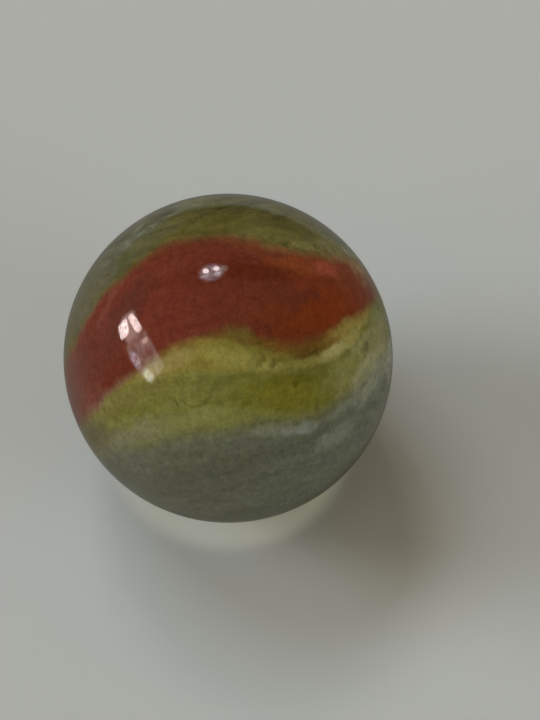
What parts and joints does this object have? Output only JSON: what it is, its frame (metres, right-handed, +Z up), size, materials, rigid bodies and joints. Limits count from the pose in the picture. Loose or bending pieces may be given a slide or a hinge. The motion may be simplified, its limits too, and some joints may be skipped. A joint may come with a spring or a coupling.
{
  "type": "glass marble",
  "caption": "Small solid glass ball, smoky and translucent, with a wide opaque red ribbon over a yellow one that wraps part of its surface.",
  "frame": {"origin": "centre of the ball", "axes": "+Z up; -Y is the front, and the red ribbon crosses the upper front of the ball, rising to the right (+X)"},
  "size_m": [0.016, 0.016, 0.016],
  "materials": {
    "ribbon_glass": "gloss"
  },
  "bodies": {
    "root": {"marble": "ribbon_glass"}
  },
  "joints": []
}
